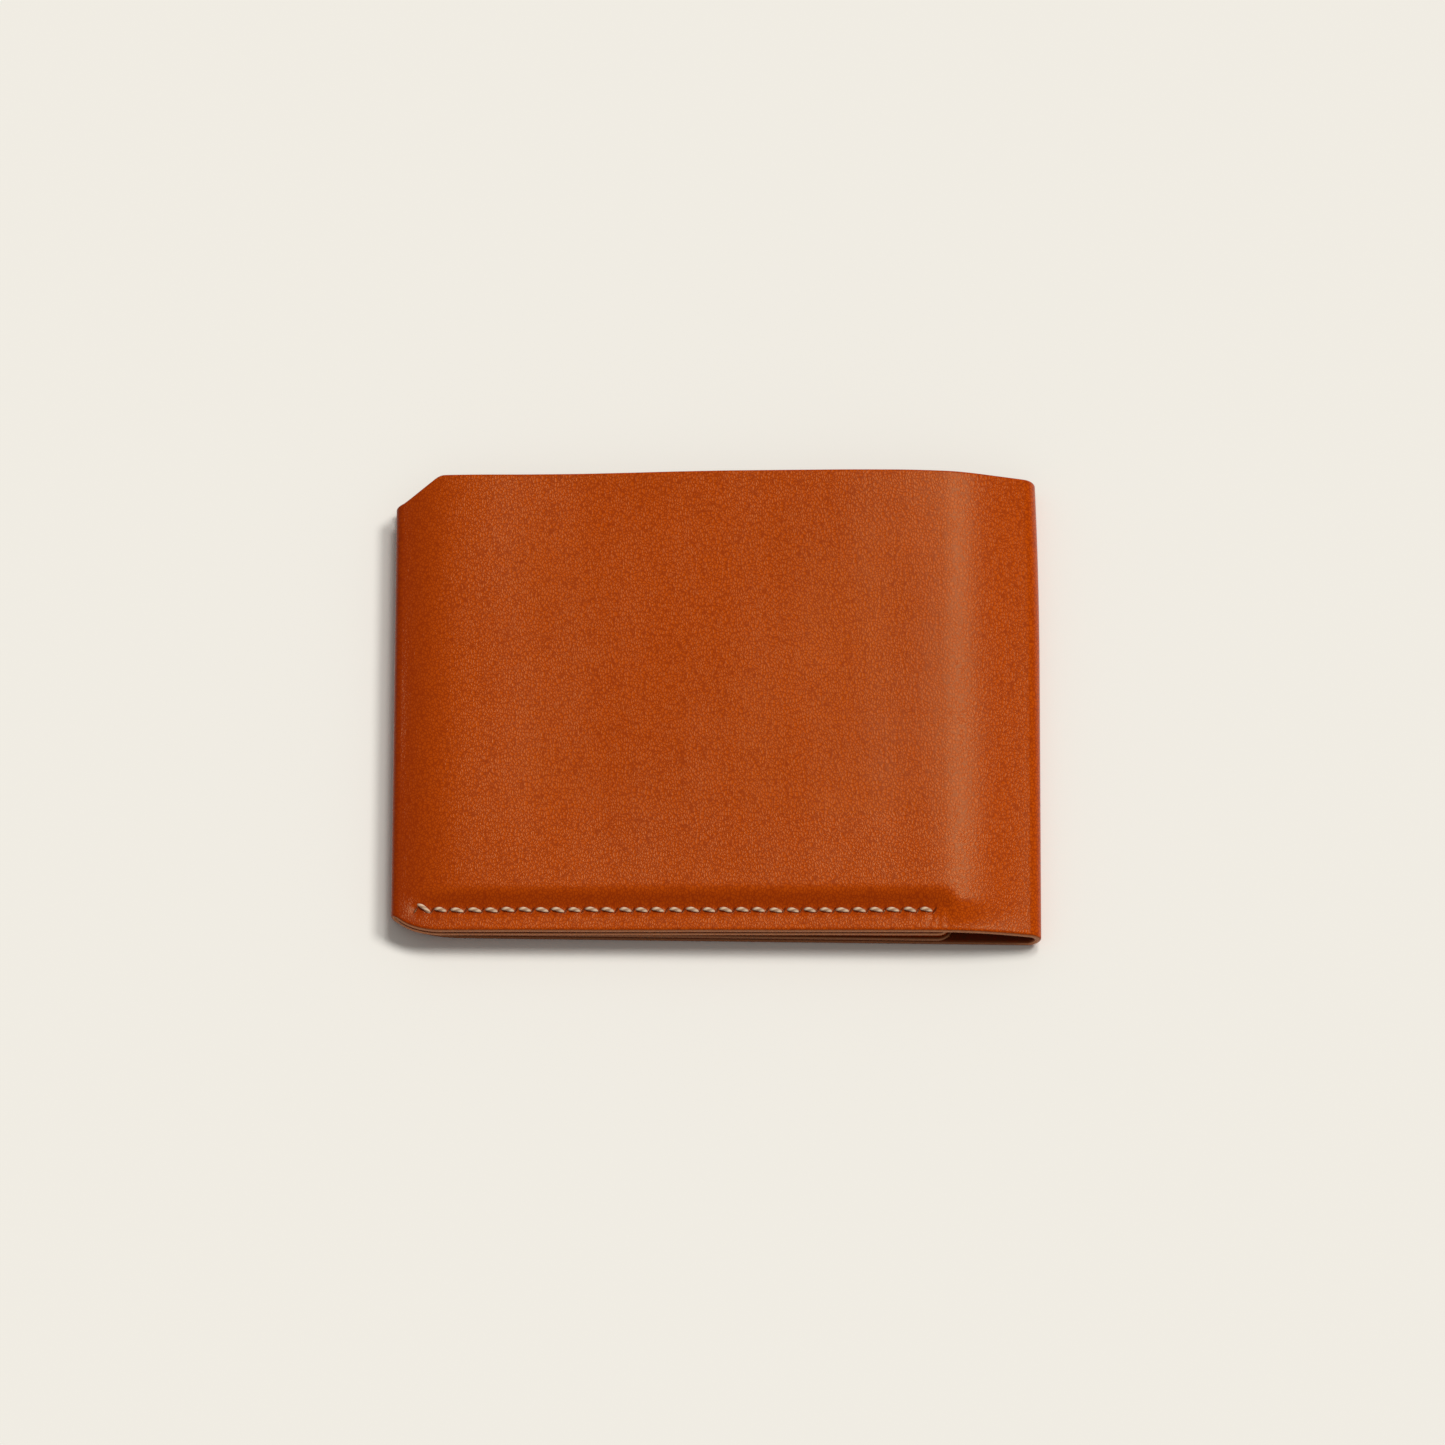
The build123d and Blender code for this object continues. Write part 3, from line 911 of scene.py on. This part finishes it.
@dataclass(frozen=True)
class LinenThread:
    """Natural linen thread: three twisted strands of pale fibre, with painted shade in the valleys between
    them.
    """

    pale: Colour = (0.72, 0.50, 0.33, 1.0)
    shade: Colour = (0.42, 0.235, 0.13, 1.0)

    def make(self, name: str) -> bpy.types.Material:
        """Builds the material from the coordinates along and round each stitch."""
        n = NodeTree(name)
        fibre = n.attribute("fibre_mm")
        along, around, seed = n.split(fibre)
        phase = n.plus(n.times(around, 3.0), n.times(along, 0.73))
        wave = n.math("SINE", n.times(phase, 2 * math.pi))
        fine_phase = n.plus(n.times(phase, 3.0), n.times(seed, 0.37))
        fine = n.math("SINE", n.times(fine_phase, 2 * math.pi))
        fuzz = n.noise(n.stretch(fibre, (3.0, 6.0, 1.0)), 2.0, 5.0)
        share = n.ramp(n.plus(wave, n.times(fuzz, 0.9)), -0.5, 1.0)
        # painted shade in the valleys between the strands, following the twist and broken up by fuzz
        colour = n.mix(share, self.shade, self.pale)
        height = n.plus(n.times(wave, 0.5), n.times(fine, 0.16))
        height = n.plus(height, n.times(fuzz, 0.4))
        return n.dress({
            "Base Color": colour,
            "Normal": n.bump(height, 0.0001, 0.7),
            "Roughness": 0.82,
            "Sheen Weight": 0.25,
            "Sheen Roughness": 0.4,
        })


@dataclass(frozen=True)
class Studio:
    """Floor, lamps, world and camera."""

    floor_colour: Colour = (0.876, 0.843, 0.771, 1.0)
    floor_reach: float = 6.0  # half the floor's side, in metres
    elevation: float = 65.5  # of the camera, in degrees
    distance: float = 2.5  # of the camera, in metres
    frame_width: float = 0.2457  # width seen at the aim, in metres
    roll: float = 0.485  # of the camera, in degrees
    aim: Triple = (0.95, -4.0, 5.3)  # in millimetres
    key_from: Triple = (0.52, 0.24, 0.82)
    key_strength: float = 1.57
    gloss_from: Triple = (0.200, 0.415, 0.888)
    gloss_strength: float = 1.02
    lamp_width: float = 17.0  # degrees across
    fill_strength: float = 0.30

    def floor(self) -> None:
        """A plain pale floor under the wallet."""
        half = self.floor_reach
        mesh = bpy.data.meshes.new("floor")
        square = [(-half, -half, 0), (half, -half, 0), (half, half, 0), (-half, half, 0)]
        mesh.from_pydata(square, [], [(0, 1, 2, 3)])
        plane = add_object("floor", mesh)
        looks = {"Base Color": self.floor_colour, "Roughness": 0.9, "Specular IOR Level": 0.0}
        mesh.materials.append(NodeTree("floor").dress(looks))

    def lamp(self, name: str, come_from: Triple, strength: float) -> Piece:
        """A broad, even lamp from one direction."""
        light = bpy.data.lights.new(name, "SUN")
        light.energy = strength
        light.angle = math.radians(self.lamp_width)
        holder = add_object(name, light)
        holder.rotation_euler = (-Vector(come_from)).to_track_quat("-Z", "Y").to_euler()
        return holder

    def lights(self) -> None:
        """A soft key over the fold's side, a second one for the gloss, and a plain world."""
        self.lamp("key", self.key_from, self.key_strength).visible_glossy = False
        self.lamp("gloss", self.gloss_from, self.gloss_strength)
        world = bpy.data.worlds.new("world")
        bpy.context.scene.world = world
        world.use_nodes = True
        background = world.node_tree.nodes["Background"]
        background.inputs["Color"].default_value = (1.0, 1.0, 1.0, 1.0)
        background.inputs["Strength"].default_value = self.fill_strength

    def camera(self) -> None:
        """A long lens at the viewing angle, far enough for near-parallel lines."""
        data = bpy.data.cameras.new("camera")
        data.sensor_width = 36.0
        data.lens = data.sensor_width * self.distance / self.frame_width
        data.clip_end = 50.0
        camera = add_object("camera", data)
        tilt = math.radians(self.elevation)
        aim = Vector(self.aim) * MM
        place = aim + self.distance * Vector((0.0, -math.cos(tilt), math.sin(tilt)))
        turn = (aim - place).to_track_quat("-Z", "Y").to_matrix().to_4x4()
        roll = Matrix.Rotation(math.radians(self.roll), 4, "Z")
        camera.matrix_world = Matrix.Translation(place) @ turn @ roll
        bpy.context.scene.camera = camera


@dataclass
class Wallet:
    """The wallet's pieces, dressed and set on their bodies."""

    shell: LeatherShell
    leather: TannedLeather
    thread: LinenThread

    def build(self) -> list[Piece]:
        """Builds and dresses every piece, and sets each half's pieces on their body; the pieces round the
        fold are left in place, unparented.
        """
        s = self.shell.sizes
        holes = round((s.last_hole - s.first_hole) / self.shell.pitch)
        zone, run = self.shell.zone_of_row, self.shell.developed
        starts = (Zone.FRONT_TURN, Zone.BACK_COVER, Zone.BACK_FLAP)
        spans = tuple(float(run[zone == start][0]) for start in starts)
        sewn = self.leather.make("tan_leather", spans, float(holes), self.shell.pitch)
        linen = self.thread.make("linen")
        pieces = [self._front(sewn), self._shoulder(sewn), self._upper_fold(sewn)]
        pieces += [self._lower_fold(sewn), self._back(sewn)]
        for half, node in ((Half.FRONT, "front_seam_thread"), (Half.BACK, "back_seam_thread")):
            stitches = SaddleSeam(self.shell, half).build()
            stitches.data.materials.append(linen)
            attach(stitches, half.value)
            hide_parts(node)
            pieces.append(stitches)
        return pieces

    def _leather_piece(self, name: str, rows: Array, material: bpy.types.Material,
                       *nodes: str) -> Piece:
        """Builds one stretch of the leather and dresses it."""
        piece = self.shell.build(name, rows)
        piece.data.materials.append(material)
        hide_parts(*nodes)
        return piece

    def _front(self, material: bpy.types.Material) -> Piece:
        """Front flap, turned edge and cover."""
        rows = self.shell.rows_of(Zone.FRONT_FLAP, Zone.FRONT_COVER)
        piece = self._leather_piece("front_half_leather", rows, material, "front_pocket_flap",
                                    "front_turned_edge", "front_cover")
        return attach(piece, "front_half")

    def _rise_rows(self) -> tuple[Array, Array]:
        """The rows between the front cover and the fold, cut in the flat of the fold panel."""
        rows = self.shell.rows_of(Zone.FRONT_RISE, Zone.FOLD_UPPER)
        x = self.shell.line_x[rows].mean(axis=1)
        cut = int(np.argmax(x > self.shell.sizes.crease_x + PANEL_CUT))
        return rows[: cut + 1], rows[cut:]

    def _shoulder(self, material: bpy.types.Material) -> Piece:
        """The crease where the single ply meets the front half."""
        rows = self._rise_rows()[0]
        piece = self._leather_piece("front_shoulder_leather", rows, material, "front_fold_panel")
        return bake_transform(piece)

    def _upper_fold(self, material: bpy.types.Material) -> Piece:
        """From the fold panel round to the tip of the fold."""
        piece = self._leather_piece("upper_fold_leather", self._rise_rows()[1], material, "upper_fold_bend",
                                    "spine_strip")
        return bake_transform(piece)

    def _lower_fold(self, material: bpy.types.Material) -> Piece:
        """From the tip of the fold round to the flat of the back."""
        rows = self.shell.rows_of(Zone.FOLD_LOWER, Zone.FOLD_LOWER)
        piece = self._leather_piece("lower_fold_leather", rows, material, "lower_fold_bend")
        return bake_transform(piece)

    def _back(self, material: bpy.types.Material) -> Piece:
        """Back cover, turned edge and flap."""
        rows = self.shell.rows_of(Zone.BACK_COVER, Zone.BACK_FLAP)
        piece = self._leather_piece("back_half_leather", rows, material, "back_cover", "back_turned_edge",
                                    "back_pocket_flap")
        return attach(piece, "back_half")


def main() -> None:
    """Loads the frame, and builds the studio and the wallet."""
    logging.basicConfig(level=logging.INFO, format="%(message)s")
    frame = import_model()
    bpy.context.scene.view_settings.view_transform = "Standard"
    studio = Studio()
    studio.camera()
    studio.floor()
    studio.lights()
    shell = LeatherShell(WalletSizes.from_frame(frame))
    for piece in Wallet(shell, TannedLeather(), LinenThread()).build():
        LOG.info("%s: %d faces", piece.name, len(piece.data.polygons))


if __name__ == "__main__":
    main()
